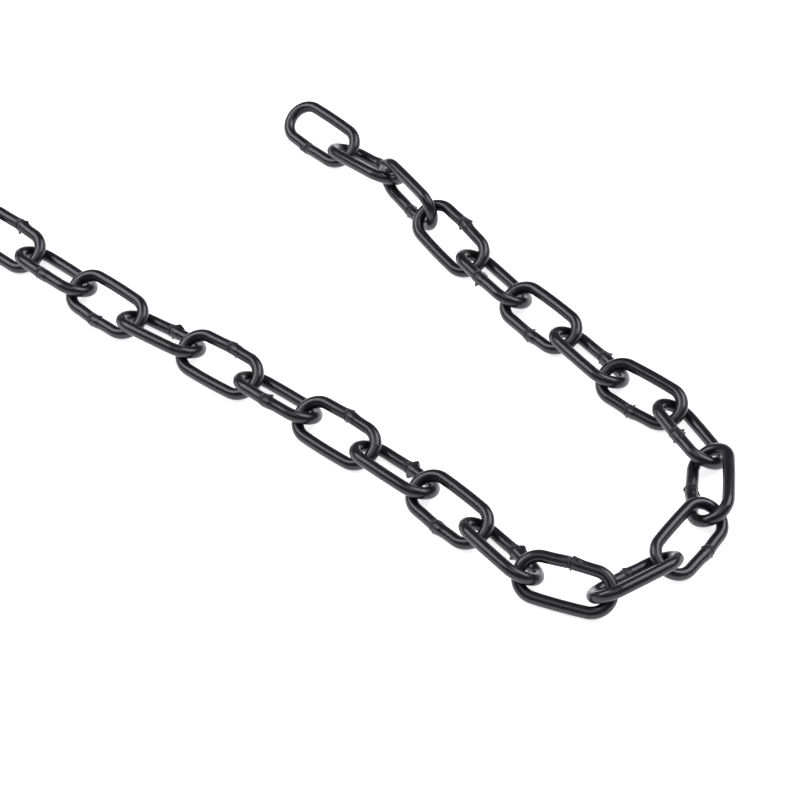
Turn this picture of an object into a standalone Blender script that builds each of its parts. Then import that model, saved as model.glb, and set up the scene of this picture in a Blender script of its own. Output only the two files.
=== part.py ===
"""A metre of side welded steel link chain, laid in a U on a level floor. Metres, +Z up.

Each link is a bent and butt welded ring of round wire, a little out of true at its weld. The links are stepped
along the chain from the one at the turn of the U. They lean left and right by turns, as chain does on a floor,
and one of them stands on its edge.
"""

import math

import bmesh
import bpy
import numpy as np
from mathutils import Euler

# Driving dimensions of one link, its width at the bends
WIRE = 0.005
INNER_LENGTH = 0.0322
OUTER_WIDTH = 0.0212

# How far out the welded leg is bent at its weld, and the other leg bowed
WELD_BEND = 0.00045
LEG_BOW = 0.0002
BOW_STEPS = 4

# The weld: a collar a little thicker than the wire, near the middle of one leg
WELD_LENGTH = 0.0048
WELD_SHOULDER = 0.0012
WELD_SWELL = 0.07

# How finely the wire and its bends are faceted
WIRE_SIDES = 8
CROWN_STEPS = 9

# The lay: how far a link's wire stays clear of its neighbour's, and how far a link leans over. One with its
# weld underneath leans less, so that the middles of all links are about as high.
CLEARANCE = 0.00045
NEST_STEP = 0.00005
LINE_STEPS = 8
LEAN = 30
WELD_DOWN_LEAN = 27.6
TURN_LINK = 21

# Heading of each link in degrees from +X, from the chain's left end round the turn to its top end
HEADINGS = [
    -36, -38, -41, -43, -42, -40, -38, -37, -39, -42, -41,
    -41, -34, -37, -39, -40, -42, -47, -51, -20,
    33, 54, 85, 118, 140, 127, 131, 126, 128, 123, 133, 134,
]

# Links that lie steeper or flatter than the rest: at the turn, and one that stands on its edge. The links beyond
# that one lean to the other side.
OTHER_LEANS = {19: 35, 20: 38, 21: 42, 22: 27, 23: 34, 24: 29, 30: 88, 31: -30, 32: -34}

# Links with one end lifted by the link on edge, and how steeply they climb along the heading
CLIMBS = {29: 8.5, 31: -8}

# Links whose weld is on the right leg, looking along the heading
RIGHT_WELDS = {2, 5, 9, 12, 15, 18, 22, 26, 29, 30}

# Welds ahead of the middle of the leg along the heading, or behind it, in wire thicknesses
WELD_OFFSETS = {
    12: -0.5, 15: -0.25, 16: -0.25, 17: 0.25, 21: 0.25, 22: 0.25, 23: 0.25, 24: 0.25, 25: 0.5,
    28: 0.25, 29: 0.25, 30: -0.25,
}

BLACK_PAINT = (0.012, 0.012, 0.014, 1)
PAINT_ROUGHNESS = 0.38

BEND_RADIUS = (OUTER_WIDTH - WIRE) / 2
LEG_LENGTH = INNER_LENGTH + WIRE - 2 * BEND_RADIUS
REACH = LEG_LENGTH / 2 + BEND_RADIUS


def clear_scene():
    for obj in list(bpy.data.objects):
        bpy.data.objects.remove(obj)


def black_paint():
    material = bpy.data.materials.new("black_paint")
    material.use_nodes = True
    shader = material.node_tree.nodes["Principled BSDF"]
    shader.inputs["Base Color"].default_value = BLACK_PAINT
    shader.inputs["Roughness"].default_value = PAINT_ROUGHNESS
    shader.inputs["Metallic"].default_value = 0
    material.diffuse_color = BLACK_PAINT
    return material


def crown(turn):
    """Stations round one bend of the link: points of the wire's centre line and the way out from the bend."""
    stations = []
    for step in range(CROWN_STEPS + 1):
        angle = turn + math.pi * (step / CROWN_STEPS - 0.5)
        outward = np.array([math.cos(angle), math.sin(angle), 0])
        centre = np.array([math.copysign(LEG_LENGTH / 2, math.cos(turn)), 0, 0])
        stations.append((centre + BEND_RADIUS * outward, outward, 1.0))
    return stations


def welded_leg(weld_at):
    """Stations along the welded leg: bent out at the weld, which swells into a collar between two shoulders."""
    swollen = 1 + WELD_SWELL
    half = WELD_LENGTH / 2
    profile = [
        (half + WELD_SHOULDER, 1.0),
        (half, swollen),
        (0, swollen),
        (-half, swollen),
        (-half - WELD_SHOULDER, 1.0),
    ]
    stations = []
    for ahead, scale in profile:
        to_bend = LEG_LENGTH / 2 - math.copysign(1, ahead) * weld_at
        bent = WELD_BEND * (1 - abs(ahead) / to_bend)
        stations.append((np.array([weld_at + ahead, BEND_RADIUS + bent, 0]), np.array([0, 1, 0]), scale))
    return stations


def bowed_leg():
    """Stations along the other leg, which bows out a little between the bends."""
    stations = []
    for step in range(1, BOW_STEPS):
        share = 2 * step / BOW_STEPS - 1
        bow = LEG_BOW * (1 - share ** 2)
        centre = np.array([share * LEG_LENGTH / 2, -BEND_RADIUS - bow, 0])
        stations.append((centre, np.array([0, -1, 0]), 1.0))
    return stations


def link_stations(number):
    weld_at = WIRE * WELD_OFFSETS.get(number, 0)
    return crown(0) + welded_leg(weld_at) + crown(math.pi) + bowed_leg()


def link_corners(stations):
    """Rings of corners round the wire. They stand proud, so that the section has the round wire's area."""
    corner = 2 * math.pi / WIRE_SIDES
    radius = WIRE / 2 * math.sqrt(corner / math.sin(corner))
    angles = corner * (np.arange(WIRE_SIDES) + 0.5)
    up = np.array([0, 0, 1])
    rings = []
    for centre, outward, scale in stations:
        spokes = np.cos(angles)[:, None] * outward + np.sin(angles)[:, None] * up
        rings.append(centre + radius * scale * spokes)
    return np.array(rings)


def link_mesh(corners):
    """One closed ring of wire."""
    mesh = bmesh.new()
    rings = []
    for ring in corners:
        rings.append([mesh.verts.new(corner) for corner in ring])
    for ring, following in zip(rings, rings[1:] + rings[:1]):
        for side in range(WIRE_SIDES):
            after = (side + 1) % WIRE_SIDES
            mesh.faces.new((ring[side], following[side], following[after], ring[after]))
    bmesh.ops.recalc_face_normals(mesh, faces=mesh.faces)
    data = bpy.data.meshes.new("link")
    mesh.to_mesh(data)
    mesh.free()
    data.shade_smooth()
    return data


def wire_line(stations):
    """Close points along the wire's centre line, for measuring how far apart two links are."""
    centres = [centre for centre, outward, scale in stations]
    stretches = []
    for start, end in zip(centres, centres[1:] + centres[:1]):
        stretches.append(np.linspace(start, end, LINE_STEPS, endpoint=False))
    return np.concatenate(stretches)


def lean_of(number):
    """Degrees that a link leans over about its length: left and right by turns along the chain."""
    odd = number % 2 == 1
    weld_down = odd != (number in RIGHT_WELDS)
    lean = OTHER_LEANS.get(number, WELD_DOWN_LEAN if weld_down else LEAN)
    return -lean if odd else lean


def rotation_of(number):
    """Roll, climb and heading of a link, in radians: one with its weld on the right is turned over."""
    over = 180 if number in RIGHT_WELDS else 0
    degrees = (lean_of(number) + over, -CLIMBS.get(number, 0), HEADINGS[number - 1])
    return Euler([math.radians(angle) for angle in degrees])


def turned(number, points):
    """Points of a link's own frame, turned as that link lies."""
    return points @ np.array(rotation_of(number).to_matrix()).T


def distance(first, second):
    return math.sqrt(((first[:, None] - second[None]) ** 2).sum(axis=2).min())


def next_place(number, place, following, lines, heights):
    """Where the following link lies: as far along as it goes before its wire comes too close to the last one's."""
    side = 1 if following > number else -1
    ahead = np.array([1, 0, 0])
    along = turned(number, ahead) + turned(following, ahead)
    still = lines[number] + place
    nest = WIRE
    while True:
        moved = place + side * along * (REACH - nest / 2)
        moved[2] = heights[following]
        if distance(still, lines[following] + moved) >= WIRE + CLEARANCE:
            return moved
        nest += NEST_STEP


def lay_chain(shapes, corners):
    """The centre of every link, resting on the floor and stepped both ways from the one at the turn."""
    lines = {}
    heights = {}
    for number, stations in shapes.items():
        lines[number] = turned(number, wire_line(stations))
        heights[number] = -corners[number][:, 2].min()
    places = {TURN_LINK: np.array([0, 0, heights[TURN_LINK]])}
    for number in range(TURN_LINK, len(HEADINGS)):
        places[number + 1] = next_place(number, places[number], number + 1, lines, heights)
    for number in range(TURN_LINK, 1, -1):
        places[number - 1] = next_place(number, places[number], number - 1, lines, heights)
    return places


def centred(places, corners):
    """The same places, moved so that the origin is in the middle of the chain's box, at the floor."""
    everywhere = np.concatenate([corners[number] + place for number, place in places.items()])
    middle = (everywhere.min(axis=0) + everywhere.max(axis=0)) / 2
    middle[2] = everywhere[:, 2].min()
    return {number: place - middle for number, place in places.items()}


def build_chain():
    clear_scene()
    paint = black_paint()
    shapes = {number: link_stations(number) for number in range(1, len(HEADINGS) + 1)}
    corners = {}
    for number, stations in shapes.items():
        corners[number] = turned(number, link_corners(stations).reshape(-1, 3))
    places = centred(lay_chain(shapes, corners), corners)
    for number, stations in shapes.items():
        data = link_mesh(link_corners(stations))
        data.materials.append(paint)
        link = bpy.data.objects.new(f"link_{number:02d}", data)
        link.location = places[number]
        link.rotation_euler = rotation_of(number)
        bpy.context.collection.objects.link(link)


build_chain()
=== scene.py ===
"""Looks of a metre of black painted, side welded link chain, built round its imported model. Metres, +Z up.

Every link is drawn anew as one closed ring of round wire. Its plain leg bows out a little. Its other leg is
bent at a butt weld, with the lip of the seam, a thicker stub on one side and fins of squeezed out metal.
"""

import math
import random
from collections import namedtuple

import bpy
import numpy as np
from bpy.props import FloatProperty, FloatVectorProperty, IntProperty, PointerProperty
from mathutils import Matrix, Vector


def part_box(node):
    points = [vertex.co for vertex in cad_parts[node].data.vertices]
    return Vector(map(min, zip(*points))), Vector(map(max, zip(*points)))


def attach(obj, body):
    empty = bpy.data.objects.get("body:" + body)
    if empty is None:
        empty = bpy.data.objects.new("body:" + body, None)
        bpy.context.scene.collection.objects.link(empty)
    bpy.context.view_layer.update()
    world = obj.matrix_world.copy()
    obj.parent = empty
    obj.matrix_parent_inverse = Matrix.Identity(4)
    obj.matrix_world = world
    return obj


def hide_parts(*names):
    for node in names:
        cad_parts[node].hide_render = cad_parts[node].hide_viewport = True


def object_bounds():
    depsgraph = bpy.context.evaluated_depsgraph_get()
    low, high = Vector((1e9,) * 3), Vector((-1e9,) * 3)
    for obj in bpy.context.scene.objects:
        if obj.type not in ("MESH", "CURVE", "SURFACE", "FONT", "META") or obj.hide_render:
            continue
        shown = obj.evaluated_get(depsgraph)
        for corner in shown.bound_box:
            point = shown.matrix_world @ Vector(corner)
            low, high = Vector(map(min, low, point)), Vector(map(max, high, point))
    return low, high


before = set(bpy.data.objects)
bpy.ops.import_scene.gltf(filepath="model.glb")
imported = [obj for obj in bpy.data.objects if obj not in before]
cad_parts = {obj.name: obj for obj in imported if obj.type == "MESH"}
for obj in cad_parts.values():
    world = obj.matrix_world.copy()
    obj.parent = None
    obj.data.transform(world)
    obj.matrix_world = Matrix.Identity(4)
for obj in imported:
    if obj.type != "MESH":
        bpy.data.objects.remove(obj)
CAD_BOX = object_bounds()

bl_info = {
    "name": "Side Welded Link Chain",
    "version": (1, 0, 0),
    "blender": (4, 5, 0),
    "location": "View3D > Sidebar > Chain",
    "description": "A metre of black painted link chain, and the stage that it lies on",
    "category": "Add Mesh",
}

TURN_LINK = "link_21"

# Corners of a CAD link that agree to this many digits are one
PLACE_DIGITS = 6

# How often a link's long axis is found anew from the two ends that it last gave
AXIS_ROUNDS = 4

# A weld: how far it sits ahead of the middle of its leg, in wire diameters, which way its stub lies (1
# ahead, -1 behind), and which way round the wire its fins point, in degrees from straight out of the link
Weld = namedtuple("Weld", "offset stub turn fins")

# A fin: on the side that the weld names (1) or on the opposite one (-1), how far along the stub its tip is
# and how far that stands proud, how long the fin rises to its tip and falls beyond it, and how far the tip
# leans over along the stub. All lengths are in wire diameters.
Fin = namedtuple("Fin", "side tip height rise fall lean")

# A ridge or groove across the wire: its place, from the weld towards the stub, and its width in wire
# diameters, and its height in wire radii, which is below zero for a groove
Ridge = namedtuple("Ridge", "place height width")

# Welds that show, by the number of their link
WELDS = {
    11: Weld(-0.15, 1, 0, [
        Fin(1, 0.10, 0.06, 0.12, 0.30, 0),
        Fin(-1, 0.12, 0.08, 0.12, 0.20, 0)]),
    12: Weld(-0.2, 1, -170, [
        Fin(1, 0.60, 0.11, 0.35, 0.06, 0.10),
        Fin(-1, 0.10, 0.05, 0.10, 0.30, 0)]),
    13: Weld(0, 1, 67, [
        Fin(1, 0.42, 0.25, 0.40, 0.62, 0),
        Fin(-1, 0.35, 0.12, 0.20, 0.14, 0)]),
    14: Weld(0.2, 1, 10, [
        Fin(1, 0.10, 0.04, 0.12, 0.30, 0),
        Fin(-1, 0.70, 0.10, 0.06, 0.08, 0.05)]),
    15: Weld(-0.1, 1, -112, [
        Fin(1, 0.40, 0.20, 0.36, 0.14, 0.12),
        Fin(-1, 0.10, 0.05, 0.12, 0.30, 0)]),
    16: Weld(0, 1, 10, [
        Fin(1, 0.20, 0.06, 0.20, 0.30, 0),
        Fin(-1, 0.16, 0.10, 0.12, 0.20, 0)]),
    17: Weld(0.25, 1, 64, [
        Fin(1, 0.28, 0.28, 0.28, 0.45, 0),
        Fin(1, 0.48, 0.10, 0.20, 0.22, 0),
        Fin(-1, 0.35, 0.28, 0.35, 0.30, 0)]),
    18: Weld(0, 1, -174, [
        Fin(1, 0.20, 0.10, 0.10, 0.10, 0),
        Fin(1, 0.42, 0.09, 0.08, 0.10, 0),
        Fin(-1, 0.15, 0.07, 0.15, 0.40, 0)]),
    19: Weld(0, 1, 67, [
        Fin(1, 0.35, 0.29, 0.36, 0.75, 0),
        Fin(-1, 0.20, 0.27, 0.16, 0.30, 0)]),
    20: Weld(0, 1, 5, [
        Fin(1, 0.15, 0.04, 0.20, 0.30, 0),
        Fin(-1, 0.12, 0.14, 0.12, 0.16, 0)]),
    21: Weld(0.05, 1, 82, [
        Fin(1, 0.08, 0.12, 0.06, 0.30, 0),
        Fin(-1, -0.10, 0.10, 0.30, 0.08, 0)]),
    22: Weld(0.35, -1, -177, [
        Fin(1, 0.12, 0.10, 0.08, 0.24, 0),
        Fin(-1, 0.10, 0.08, 0.10, 0.20, 0)]),
    23: Weld(0.25, -1, -141, [
        Fin(1, 0.30, 0.20, 0.30, 0.10, 0.40),
        Fin(-1, 0.02, 0.16, 0.12, 0.36, 0)]),
    24: Weld(-0.1, -1, 126, [
        Fin(1, 0.22, 0.26, 0.20, 0.14, 0),
        Fin(1, 0.45, 0.15, 0.10, 0.12, 0.06),
        Fin(-1, 0.50, 0.13, 0.12, 0.10, 0.10)]),
    25: Weld(0.1, -1, 170, [
        Fin(1, 0.26, 0.18, 0.10, 0.08, 0.06),
        Fin(-1, 0.08, 0.08, 0.10, 0.16, 0)]),
    26: Weld(-0.1, -1, -58, [
        Fin(1, 0.32, 0.17, 0.32, 0.10, 0.15),
        Fin(-1, 0.14, 0.16, 0.10, 0.14, 0),
        Fin(-1, 0.42, 0.13, 0.12, 0.12, 0)]),
    27: Weld(-0.25, -1, 175, [
        Fin(1, 0.16, 0.19, 0.16, 0.08, 0.05),
        Fin(-1, 0.25, 0.08, 0.25, 0.12, 0.04)]),
    28: Weld(0.25, -1, 120, [
        Fin(1, 0.25, 0.14, 0.12, 0.06, 0),
        Fin(1, 0.52, 0.12, 0.16, 0.06, 0.06),
        Fin(-1, 0.40, 0.28, 0.20, 0.14, 0.06)]),
    29: Weld(0.25, -1, 0, [
        Fin(1, 0.46, 0.15, 0.46, 0.12, 0),
        Fin(-1, 0.22, 0.19, 0.14, 0.16, 0)]),
    30: Weld(-0.25, -1, -116, [
        Fin(1, 0.20, 0.10, 0.20, 0.16, 0),
        Fin(-1, 0.30, 0.10, 0.16, 0.10, 0.05)]),
}

# All other welds are made up at random within these
OFFSET_RANGE = (-0.35, 0.35)
TURN_RANGE = (-180, 180)
TIP_RANGE = (0.1, 0.6)
HEIGHT_RANGE = (0.05, 0.30)
SHORTEST_RISE = 0.1
FALL_RANGE = (0.1, 0.4)
LEAN_RANGE = (0, 0.1)

# Links turned over about their length, so that the weld is on the other leg than in the CAD model
TURNED_OVER = {"link_11", "link_31"}

# The seam of every weld: a lip between two grooves, and how far it sways along the wire, in wire diameters
LIP = Ridge(-0.07, 0.10, 0.04)
GROOVES = (Ridge(-0.15, -0.092, 0.035), Ridge(0.01, -0.23, 0.035))
SEAM_SWAY = 0.03

# The stub: how gradually it swells at the seam, in wire diameters, where it ends and how gradually it
# thins out there, as shares of its length, and how unevenly it swells round the wire
STUB_RISE = 0.015
STUB_END = 0.85
STUB_FALL = 0.10
STUB_UNEVENNESS = 0.5

# Where round the wire the stub is thickest, in radians from straight out of the link. The seam sways
# furthest from the stub at the same angle the other way round.
TWIST_RANGE = (-1, 1)

# The outline of a fin is straight at 1 and rounder below. A fin is thin across, in radians round the wire.
FIN_ROUNDNESS = 0.8
FIN_THICKNESS = 0.24

# How far to either side of the weld the paint is grainy and dull, as a share of the stub's length
GRAINY_REACH = 0.5

# How tightly the welded leg is bent at its weld, and where it is finely divided, in wire diameters from
# the weld
KINK_ROUNDING = 0.08
SEAM_STRETCH = (-0.42, 0.28)
STUB_STRETCH = (0.28, 1.35)

# The welded leg is where the wire is further out than this share of a bend's radius. All other wire counts
# as a metre away from the weld.
LEG_SHARE = 0.8
FAR_AWAY = 1

# How closely the faces round the wire crowd towards the fins
CROWDING = 0.3

# The soft step is 0 or 1, near enough, this far from its middle
STEP_LIMIT = 30

NOISE_MEAN = 0.5

# How much dust gathers with the waves and the grain of the paint and over the weld, and how strongly the
# dust colour lightens the lip of its seam as a painted highlight, where its crest catches the light
WAVE_DUST = 0.2
GRAIN_DUST = 0.5
WELD_DUST = 0.2
LIP_PAINTED_HIGHLIGHT = 2.6

# How much the paint's dullness varies with its waves, and how much duller it is over the weld
WAVE_DULLNESS = 0.12
WELD_DULLNESS = 0.25

# The paint's relief: how much its waves, its grain and the crumbs on the weld count, its depth and strength
WAVE_RELIEF = 0.6
GRAIN_RELIEF = 0.4
WELD_RELIEF = 1.6
RELIEF_DEPTH = 0.0002
RELIEF_STRENGTH = 0.5

PAINT_IOR = 1.5

# Half a side of the floor, how far it lies below the chain, so that the two don't touch, and how dull it is
FLOOR_HALF = 6
FLOOR_DROP = 0.0001
FLOOR_ROUGHNESS = 0.9

# The room is pale up to the first of these heights and dim from the second, where straight up is 1
HORIZON = (0.08, 0.14)

SENSOR_WIDTH = 36
WHITE = (1, 1, 1, 1)


class LinkSettings(bpy.types.PropertyGroup):
    """Sizes and colours of the links."""

    wire: FloatProperty(
        name="Wire", description="Thickness of the wire", default=0.005, unit="LENGTH")
    inner_length: FloatProperty(
        name="Inside length", description="Opening of a link along the chain", default=0.0322, unit="LENGTH")
    outer_width: FloatProperty(
        name="Outside width", description="Width over both legs of a link at its bends", default=0.0212,
        unit="LENGTH")
    kink: FloatProperty(
        name="Kink", description="How much the welded leg is bent at its weld", default=math.radians(9),
        subtype="ANGLE", unit="ROTATION")
    weld_bend: FloatProperty(
        name="Weld bend", description="How far out the welded leg stands at its weld", default=0.00045,
        unit="LENGTH")
    bow: FloatProperty(
        name="Bow", description="How far the plain leg bows out in its middle", default=0.0002,
        unit="LENGTH")
    stub_length: FloatProperty(
        name="Stub length", description="Length of the thicker stretch beside the weld", default=0.0046,
        unit="LENGTH")
    stub_swell: FloatProperty(
        name="Stub swell", description="How much thicker than the wire the stub is", default=0.07,
        subtype="FACTOR", min=0, max=1)
    sides: IntProperty(
        name="Sides", description="Faces round the wire", default=48, min=8, max=96)
    paint: FloatVectorProperty(
        name="Paint", description="Colour of the paint", default=(0.0050, 0.0049, 0.0080), size=3,
        subtype="COLOR", min=0, max=1)
    roughness: FloatProperty(
        name="Roughness", description="How dull the paint is", default=0.22, subtype="FACTOR", min=0, max=1)
    # This colour is also the painted highlight on the lip of each weld's seam
    dust_and_lip_highlight: FloatVectorProperty(
        name="Dust", description="Colour of the dust on the paint", default=(0.065, 0.065, 0.068), size=3,
        subtype="COLOR", min=0, max=1)


class StageSettings(bpy.types.PropertyGroup):
    """The floor, the light and the camera."""

    elevation: FloatProperty(
        name="Elevation", description="How steeply the camera looks down", default=math.radians(45.33),
        subtype="ANGLE", unit="ROTATION")
    distance: FloatProperty(
        name="Distance", description="From the camera to the floor in the middle of its view",
        default=1.1262, unit="LENGTH")
    aim: FloatVectorProperty(
        name="Aim", description="Middle of the camera's view, from the floor below the link at the turn",
        default=(-0.08905, 0.10255, 0), size=3, subtype="TRANSLATION")
    lens: FloatProperty(
        name="Lens", description="Focal length in millimetres", default=124.5, unit="CAMERA")
    floor: FloatVectorProperty(
        name="Floor", description="Colour of the floor", default=(0.86, 0.86, 0.86), size=3, subtype="COLOR",
        min=0, max=1)
    floor_glow: FloatProperty(
        name="Floor glow", description="Light of the floor's own, which washes out the shadows on it",
        default=0.78, min=0, max=10)
    room: FloatProperty(
        name="Room", description="Brightness of the room above its pale horizon", default=0.13, min=0,
        max=10)
    horizon: FloatProperty(
        name="Horizon", description="Brightness of the room up to just above the horizon", default=1, min=0,
        max=10)
    softbox: FloatProperty(
        name="Softbox", description="Power of each of the two softboxes, in watts", default=11.6, min=0,
        max=1000)
    softbox_side: FloatProperty(
        name="Softbox side", description="Length of a side of each softbox", default=0.9, unit="LENGTH")
    softbox_place: FloatVectorProperty(
        name="Softbox place", description="Middle of the softbox on the right, which the left one mirrors",
        default=(0.85, 0.13, 0.98), size=3, subtype="TRANSLATION")
    overhead: FloatProperty(
        name="Overhead", description="Power of the weak softbox overhead, in watts", default=3.5, min=0,
        max=1000)
    overhead_place: FloatVectorProperty(
        name="Overhead place", description="Middle of the softbox overhead", default=(0, -0.45, 1.25),
        size=3, subtype="TRANSLATION")
    light_tint: FloatVectorProperty(
        name="Light tint", description="Colour of the room and the light", default=(0.93, 0.93, 1.0), size=3,
        subtype="COLOR", min=0, max=1)


class Maths:
    """A node's output that can be reckoned with: each operator adds the Math node that it stands for."""

    def __init__(self, tree, socket):
        self.tree = tree
        self.socket = socket

    def step(self, operation, first, second):
        return add_node(self.tree, "ShaderNodeMath", {"operation": operation}, {0: first, 1: second})

    def __add__(self, other):
        return self.step("ADD", self, other)

    def __sub__(self, other):
        return self.step("SUBTRACT", self, other)

    def __rsub__(self, other):
        return self.step("SUBTRACT", other, self)

    def __mul__(self, other):
        return self.step("MULTIPLY", self, other)

    def __pow__(self, other):
        return self.step("POWER", self, other)

    def __rpow__(self, other):
        return self.step("POWER", other, self)

    __radd__ = __add__
    __rmul__ = __mul__


def add_node(tree, kind, settings, sockets, output=0):
    """A node of that kind with its settings first, then the values or links of its sockets."""
    node = tree.nodes.new(kind)
    for name, value in settings.items():
        setattr(node, name, value)
    for name, value in sockets.items():
        if isinstance(value, Maths):
            tree.links.new(value.socket, node.inputs[name])
        else:
            node.inputs[name].default_value = value
    return Maths(tree, node.outputs[output])


def paint_material(settings):
    """Black paint: nearly even on the wire, grainier and duller over the weld, with a painted highlight
    along the lip of its seam.
    """
    material = bpy.data.materials.new("black_paint_finish")
    material.use_nodes = True
    tree = material.node_tree
    shader = tree.nodes["Principled BSDF"]
    place = add_node(tree, "ShaderNodeTexCoord", {}, {}, output="Object")
    chance = add_node(tree, "ShaderNodeObjectInfo", {}, {}, output="Random")
    weld = add_node(tree, "ShaderNodeAttribute", {"attribute_name": "weld"}, {}, output="Fac")
    lip = add_node(tree, "ShaderNodeAttribute", {"attribute_name": "lip"}, {}, output="Fac")

    def noise(spread, scale, detail, roughness):
        """A noise that differs from link to link."""
        return add_node(tree, "ShaderNodeTexNoise", {"noise_dimensions": "4D"}, {
            "Vector": place, "W": chance * spread, "Scale": scale, "Detail": detail, "Roughness": roughness})

    waves = noise(spread=20, scale=260, detail=3, roughness=0.55)
    grain = noise(spread=31, scale=1700, detail=2, roughness=0.6)
    crumbs = noise(spread=7, scale=900, detail=4, roughness=0.7)
    weld_crumbs = weld * crumbs
    lip_highlight_crumbs = lip * crumbs
    paint_dust = waves ** 3 * WAVE_DUST + grain ** 4 * GRAIN_DUST
    # The lip term is a painted highlight: the dust colour laid along the crest of the seam, where it catches
    # the light
    dust_and_lip_highlight = paint_dust + weld_crumbs * WELD_DUST + lip_highlight_crumbs * LIP_PAINTED_HIGHLIGHT
    colour = add_node(tree, "ShaderNodeMix", {"data_type": "RGBA"}, {
        "Factor": dust_and_lip_highlight, 6: (*settings.paint, 1), 7: (*settings.dust_and_lip_highlight, 1)}, output=2)
    tree.links.new(colour.socket, shader.inputs["Base Color"])
    dullness = settings.roughness + (waves - NOISE_MEAN) * WAVE_DULLNESS + weld_crumbs * WELD_DULLNESS
    tree.links.new(dullness.socket, shader.inputs["Roughness"])
    relief = waves * WAVE_RELIEF + grain * GRAIN_RELIEF + weld_crumbs * WELD_RELIEF
    bump = add_node(tree, "ShaderNodeBump", {}, {
        "Height": relief, "Strength": RELIEF_STRENGTH, "Distance": RELIEF_DEPTH})
    tree.links.new(bump.socket, shader.inputs["Normal"])
    shader.inputs["Metallic"].default_value = 0
    shader.inputs["IOR"].default_value = PAINT_IOR
    material.diffuse_color = (*settings.paint, 1)
    return material


def corners(name):
    """The corners of a CAD link, each once."""
    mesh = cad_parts[name].data
    numbers = np.zeros(len(mesh.vertices) * 3, np.float32)
    mesh.vertices.foreach_get("co", numbers)
    return np.unique(numbers.reshape(-1, 3).round(PLACE_DIGITS), axis=0).astype(float)


def link_place(name, ahead, wire):
    """A CAD link's middle and own axes in the frame: X ahead along the chain, Y out to its welded leg."""
    points = corners(name)
    mean = points.mean(axis=0)
    _, _, axes = np.linalg.svd(points - mean, full_matrices=False)
    along = axes[0] * math.copysign(1, axes[0] @ ahead)
    for _ in range(AXIS_ROUNDS):
        reach = (points - mean) @ along
        front = points[reach > reach.max() - wire].mean(axis=0)
        back = points[reach < reach.min() + wire].mean(axis=0)
        along = (front - back) / np.linalg.norm(front - back)
    centre = (front + back) / 2
    across = np.cross(axes[2], along)
    across = across * math.copysign(1, across @ (mean - centre))
    turn = np.stack([along, across, np.cross(along, across)], axis=1)
    return Matrix.Translation(Vector(centre)) @ Matrix(turn.tolist()).to_4x4()


def chain_places(settings):
    """Every link's place, in the chain's order."""
    names = sorted(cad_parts)
    middles = [sum(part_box(name), Vector()) / 2 for name in names]
    last = len(names) - 1
    places = {}
    for index, name in enumerate(names):
        ahead = middles[min(index + 1, last)] - middles[max(index - 1, 0)]
        places[name] = link_place(name, np.array(ahead), settings.wire)
        if name in TURNED_OVER:
            places[name] = places[name] @ Matrix.Rotation(math.pi, 4, "X")
    return places


def soft_step(value):
    """0 well below zero, 1 well above it, and gradual in between."""
    return 1 / (1 + np.exp(-np.clip(value, -STEP_LIMIT, STEP_LIMIT)))


def across_ridge(ridge, ahead):
    """The outline of a ridge or groove, 1 in its middle."""
    return np.exp(-((ahead - ridge.place) / ridge.width) ** 2)


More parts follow.
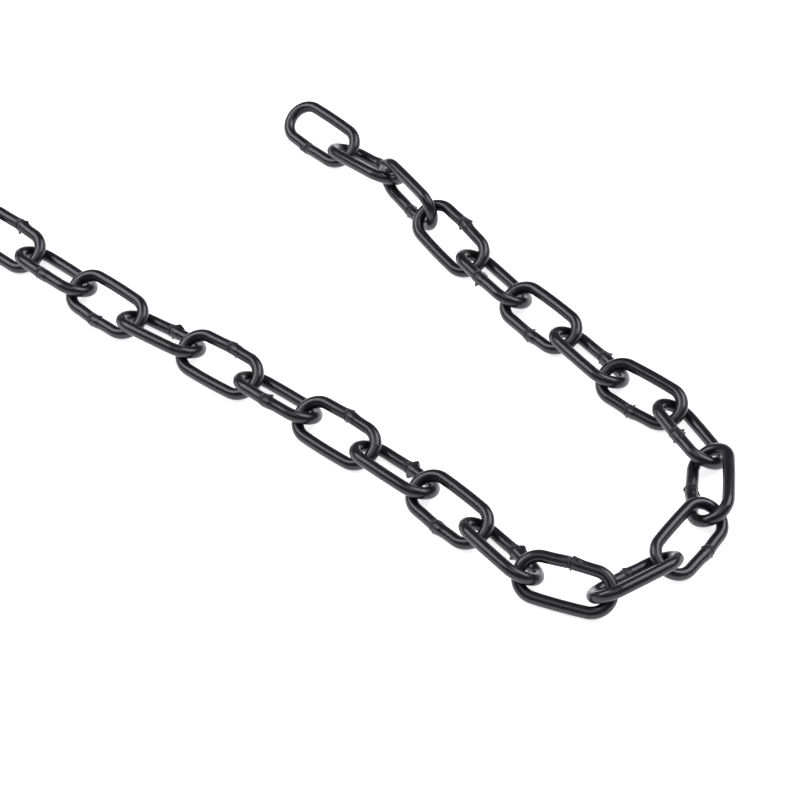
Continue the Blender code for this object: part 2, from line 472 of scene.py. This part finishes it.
class WireRing:
    """The wire of one link in its own axes: its centre line round both bends, and its skin with the weld."""

    # How many points each stretch of the centre line has, with those at its ends: the plain leg, a bend, the
    # seam, the stub, and what is left of the welded leg on either side of them
    LEG_POINTS = 12
    BEND_POINTS = 26
    SEAM_POINTS = 44
    STUB_POINTS = 26
    REST_POINTS = 4

    def __init__(self, settings, number):
        self.settings = settings
        self.chance = random.Random(number)
        self.bend = (settings.outer_width - settings.wire) / 2
        self.leg = settings.inner_length + settings.wire - 2 * self.bend
        self.twist = self.chance.uniform(*TWIST_RANGE)
        weld = WELDS.get(number) or self.some_weld()
        self.weld = weld.offset * settings.wire
        self.ahead = weld.stub
        self.turn = math.radians(weld.turn)
        self.fins = weld.fins

    def some_weld(self):
        """A weld like the ones that show, with a fin on both sides."""
        fins = []
        for side in (1, -1):
            tip = self.chance.uniform(*TIP_RANGE)
            rise = self.chance.uniform(SHORTEST_RISE, tip)
            fall = self.chance.uniform(*FALL_RANGE)
            height = self.chance.uniform(*HEIGHT_RANGE)
            lean = self.chance.uniform(*LEAN_RANGE)
            fins.append(Fin(side, tip, height, rise, fall, lean))
        offset = self.chance.uniform(*OFFSET_RANGE)
        stub = self.chance.choice((-1, 1))
        turn = self.chance.uniform(*TURN_RANGE)
        return Weld(offset, stub, turn, fins)

    def leg_stations(self):
        """Places along the welded leg from its front end to its back end, close together at the weld."""
        seam = np.linspace(*SEAM_STRETCH, self.SEAM_POINTS)
        stub = np.linspace(*STUB_STRETCH, self.STUB_POINTS)[1:]
        near = self.weld + self.ahead * self.settings.wire * np.concatenate([seam, stub])
        near = np.sort(near)[::-1]
        inside = near[abs(near) < self.leg / 2]
        front = np.linspace(self.leg / 2, inside[0], self.REST_POINTS)[:-1]
        back = np.linspace(inside[-1], -self.leg / 2, self.REST_POINTS)[1:]
        return np.concatenate([front, inside, back])

    def bowed(self, points):
        """The plain leg bowed out, and the welded leg bent out more and more sharply towards its weld."""
        x, y = points[:, 0], points[:, 1]
        half = self.leg / 2
        rounding = KINK_ROUNDING * self.settings.wire
        away = np.sqrt((x - self.weld) ** 2 + rounding ** 2) - rounding
        to_bend = np.where(x > self.weld, half - self.weld, half + self.weld)
        power = math.tan(self.settings.kink / 2) * half / self.settings.weld_bend
        tent = self.settings.weld_bend * np.clip(1 - away / to_bend, 0, 1) ** power
        arch = self.settings.bow * np.clip(1 - (x / half) ** 2, 0, 1)
        return points + np.stack([np.zeros_like(x), np.where(y > 0, tent, -arch)], axis=1)

    def centre_line(self):
        """Points round the centre line: front bend, welded leg, back bend and plain leg."""
        bend = np.linspace(-math.pi / 2, math.pi / 2, self.BEND_POINTS)
        front = np.stack([self.leg / 2 + self.bend * np.cos(bend), self.bend * np.sin(bend)], axis=1)
        back = (front * [-1, 1])[::-1]
        leg = self.leg_stations()
        welded = np.stack([leg, np.full(len(leg), self.bend)], axis=1)
        plain_x = np.linspace(-self.leg / 2, self.leg / 2, self.LEG_POINTS)[1:-1]
        plain = np.stack([plain_x, np.full(len(plain_x), -self.bend)], axis=1)
        return self.bowed(np.concatenate([front[:-1], welded, back[1:], plain]))

    def fin_outline(self, fin, ahead, around):
        """1 at the fin's tip: it rises to there along the wire, falls beyond, and is thin across."""
        across = np.angle(fin.side * np.exp(1j * (around - self.turn)))
        length = np.where(ahead < fin.tip, fin.rise, fin.fall)
        lengthwise = np.clip(1 - np.abs(ahead - fin.tip) / length, 0, 1) ** FIN_ROUNDNESS
        return lengthwise * np.exp(-(across / FIN_THICKNESS) ** 2)

    def relief(self, along, around):
        """How far out the weld's relief stands, in wire radii, and how far it is pushed along the wire.

        Two masks come with it, of the whole weld and of the lip of its seam, where the paint gets a painted
        highlight.
        """
        wire = self.settings.wire
        ahead = (along - self.weld) * self.ahead / wire
        stub = self.settings.stub_length / wire
        rise = soft_step(ahead / STUB_RISE)
        fall = soft_step((STUB_END * stub - ahead) / (STUB_FALL * stub))
        uneven = 1 + STUB_UNEVENNESS * np.cos(around - self.twist)
        seam = ahead + SEAM_SWAY * np.cos(around + self.twist)
        out = self.settings.stub_swell * rise * fall * uneven
        for ridge in (LIP, *GROOVES):
            out = out + ridge.height * across_ridge(ridge, seam)
        push = np.zeros_like(out)
        for fin in self.fins:
            outline = self.fin_outline(fin, ahead, around)
            out = out + 2 * fin.height * outline
            push = push + fin.lean * outline * self.ahead * wire
        whole = np.broadcast_to(np.exp(-(ahead / (GRAINY_REACH * stub)) ** 4), out.shape)
        return out, push, whole, across_ridge(LIP, seam)

    def skin(self):
        """Corners of the skin, ring by ring, the weld's masks at each, and how many rings there are."""
        sides = self.settings.sides
        line = self.centre_line()
        tangent = np.roll(line, -1, axis=0) - np.roll(line, 1, axis=0)
        tangent /= np.linalg.norm(tangent, axis=1, keepdims=True)
        outward = np.stack([tangent[:, 1], -tangent[:, 0]], axis=1)
        evenly = 2 * math.pi * np.arange(sides) / sides
        around = evenly + self.turn - CROWDING * np.sin(2 * evenly)
        along = np.where(line[:, 1] > LEG_SHARE * self.bend, line[:, 0], FAR_AWAY)
        out, push, whole, lip = self.relief(along[:, None], around[None])
        radius = self.settings.wire / 2 * (1 + out)
        flat = line[:, None] + outward[:, None] * (radius * np.cos(around))[..., None]
        flat[..., 0] += push
        height = radius * np.sin(around)
        points = np.concatenate([flat, height[..., None]], axis=2)
        return points.reshape(-1, 3), {"weld": whole, "lip": lip}, len(line)

    def mesh(self, name, place):
        """The ring's mesh, in its place in the frame as the CAD links are, with no fin below the floor."""
        points, masks, rings = self.skin()
        points = points @ np.array(place.to_3x3()).T + np.array(place.translation)
        points[:, 2] = np.maximum(points[:, 2], CAD_BOX[0].z)
        sides = self.settings.sides
        ring = np.arange(rings)[:, None]
        side = np.arange(sides)[None]
        here = ring * sides
        there = (ring + 1) % rings * sides
        after = (side + 1) % sides
        faces = np.stack([here + side, here + after, there + after, there + side], axis=2)
        data = bpy.data.meshes.new(name)
        data.from_pydata(points.tolist(), [], faces.reshape(-1, 4).tolist())
        for mask, values in masks.items():
            layer = data.attributes.new(mask, "FLOAT", "POINT")
            layer.data.foreach_set("value", values.ravel().astype(np.float32))
        data.shade_smooth()
        return data


class OBJECT_OT_chain_links(bpy.types.Operator):
    """Draw every link of the chain on its CAD link"""

    bl_idname = "object.chain_links"
    bl_label = "Links"

    def execute(self, context):
        settings = context.scene.chain_links
        paint = paint_material(settings)
        for name, place in chain_places(settings).items():
            number = int(name.split("_")[1])
            data = WireRing(settings, number).mesh(f"wire_{name}", place)
            data.materials.append(paint)
            link = bpy.data.objects.new(f"wire_{name}", data)
            context.collection.objects.link(link)
            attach(link, name)
            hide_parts(name)
        return {"FINISHED"}


def floor_material(settings):
    """Dull and pale, with a light of its own."""
    material = bpy.data.materials.new("pale_floor")
    material.use_nodes = True
    shader = material.node_tree.nodes["Principled BSDF"]
    shader.inputs["Base Color"].default_value = (*settings.floor, 1)
    shader.inputs["Roughness"].default_value = FLOOR_ROUGHNESS
    shader.inputs["Emission Color"].default_value = WHITE
    shader.inputs["Emission Strength"].default_value = settings.floor_glow
    return material


class OBJECT_OT_chain_stage(bpy.types.Operator):
    """Lay the pale floor, light it and set up the camera"""

    bl_idname = "object.chain_stage"
    bl_label = "Stage"

    def execute(self, context):
        settings = context.scene.chain_stage
        context.scene.view_settings.view_transform = "Standard"
        self.lay_floor(context, settings)
        self.light(context, settings)
        self.set_camera(context, settings)
        return {"FINISHED"}

    def lay_floor(self, context, settings):
        ways = ((-1, -1), (1, -1), (1, 1), (-1, 1))
        data = bpy.data.meshes.new("floor")
        data.from_pydata([(x * FLOOR_HALF, y * FLOOR_HALF, 0) for x, y in ways], [], [(0, 1, 2, 3)])
        data.materials.append(floor_material(settings))
        floor = bpy.data.objects.new("floor", data)
        floor.location.z = CAD_BOX[0].z - FLOOR_DROP
        context.collection.objects.link(floor)

    def light(self, context, settings):
        context.scene.world = self.room(settings)
        beside = Vector(settings.softbox_place)
        mirror = Vector((-1, 1, 1))
        self.add_light(context, settings, "right_softbox", beside, settings.softbox)
        self.add_light(context, settings, "left_softbox", beside * mirror, settings.softbox)
        self.add_light(context, settings, "overhead", Vector(settings.overhead_place), settings.overhead)

    def room(self, settings):
        """A dim room, pale up to just above the horizon, so that the floor has no dark edge."""
        world = bpy.data.worlds.new("room")
        world.use_nodes = True
        tree = world.node_tree
        background = tree.nodes["Background"]
        background.inputs["Color"].default_value = (*settings.light_tint, 1)
        background.inputs["Strength"].default_value = settings.room
        dim = Maths(tree, background.outputs[0])
        pale = add_node(tree, "ShaderNodeBackground", {}, {"Color": WHITE, "Strength": settings.horizon})
        direction = add_node(tree, "ShaderNodeTexCoord", {}, {}, output="Generated")
        height = add_node(tree, "ShaderNodeSeparateXYZ", {}, {0: direction}, output="Z")
        share = add_node(tree, "ShaderNodeMapRange", {"interpolation_type": "SMOOTHSTEP"}, {
            "Value": height, "From Min": HORIZON[0], "From Max": HORIZON[1]})
        mixed = add_node(tree, "ShaderNodeMixShader", {}, {0: share, 1: pale, 2: dim})
        tree.links.new(mixed.socket, tree.nodes["World Output"].inputs["Surface"])
        return world

    def add_light(self, context, settings, name, place, power):
        """A softbox that faces the middle of the stage."""
        data = bpy.data.lights.new(name, "AREA")
        data.shape = "SQUARE"
        data.size = settings.softbox_side
        data.energy = power
        data.color = settings.light_tint
        light = bpy.data.objects.new(name, data)
        light.location = place
        light.rotation_euler = place.to_track_quat("Z", "Y").to_euler()
        context.collection.objects.link(light)

    def set_camera(self, context, settings):
        middle = sum(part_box(TURN_LINK), Vector()) / 2
        target = Vector((middle.x, middle.y, CAD_BOX[0].z)) + Vector(settings.aim)
        data = bpy.data.cameras.new("camera")
        data.lens = settings.lens
        data.sensor_width = SENSOR_WIDTH
        camera = bpy.data.objects.new("camera", data)
        back = Vector((0, -math.cos(settings.elevation), math.sin(settings.elevation)))
        camera.location = target + back * settings.distance
        camera.rotation_euler = (-back).to_track_quat("-Z", "Y").to_euler()
        context.collection.objects.link(camera)
        context.scene.camera = camera


class VIEW3D_PT_chain(bpy.types.Panel):
    """The chain's settings and the buttons that draw it"""

    bl_idname = "VIEW3D_PT_chain"
    bl_label = "Chain"
    bl_space_type = "VIEW_3D"
    bl_region_type = "UI"
    bl_category = "Chain"

    def draw(self, context):
        for group in (context.scene.chain_links, context.scene.chain_stage):
            for name in group.__annotations__:
                self.layout.prop(group, name)
        self.layout.operator(OBJECT_OT_chain_links.bl_idname)
        self.layout.operator(OBJECT_OT_chain_stage.bl_idname)


CLASSES = (LinkSettings, StageSettings, OBJECT_OT_chain_links, OBJECT_OT_chain_stage, VIEW3D_PT_chain)


def register():
    for each in CLASSES:
        bpy.utils.register_class(each)
    bpy.types.Scene.chain_links = PointerProperty(type=LinkSettings)
    bpy.types.Scene.chain_stage = PointerProperty(type=StageSettings)


def unregister():
    del bpy.types.Scene.chain_stage
    del bpy.types.Scene.chain_links
    for each in reversed(CLASSES):
        bpy.utils.unregister_class(each)


def main():
    register()
    bpy.ops.object.chain_links()
    bpy.ops.object.chain_stage()


if __name__ == "__main__":
    main()
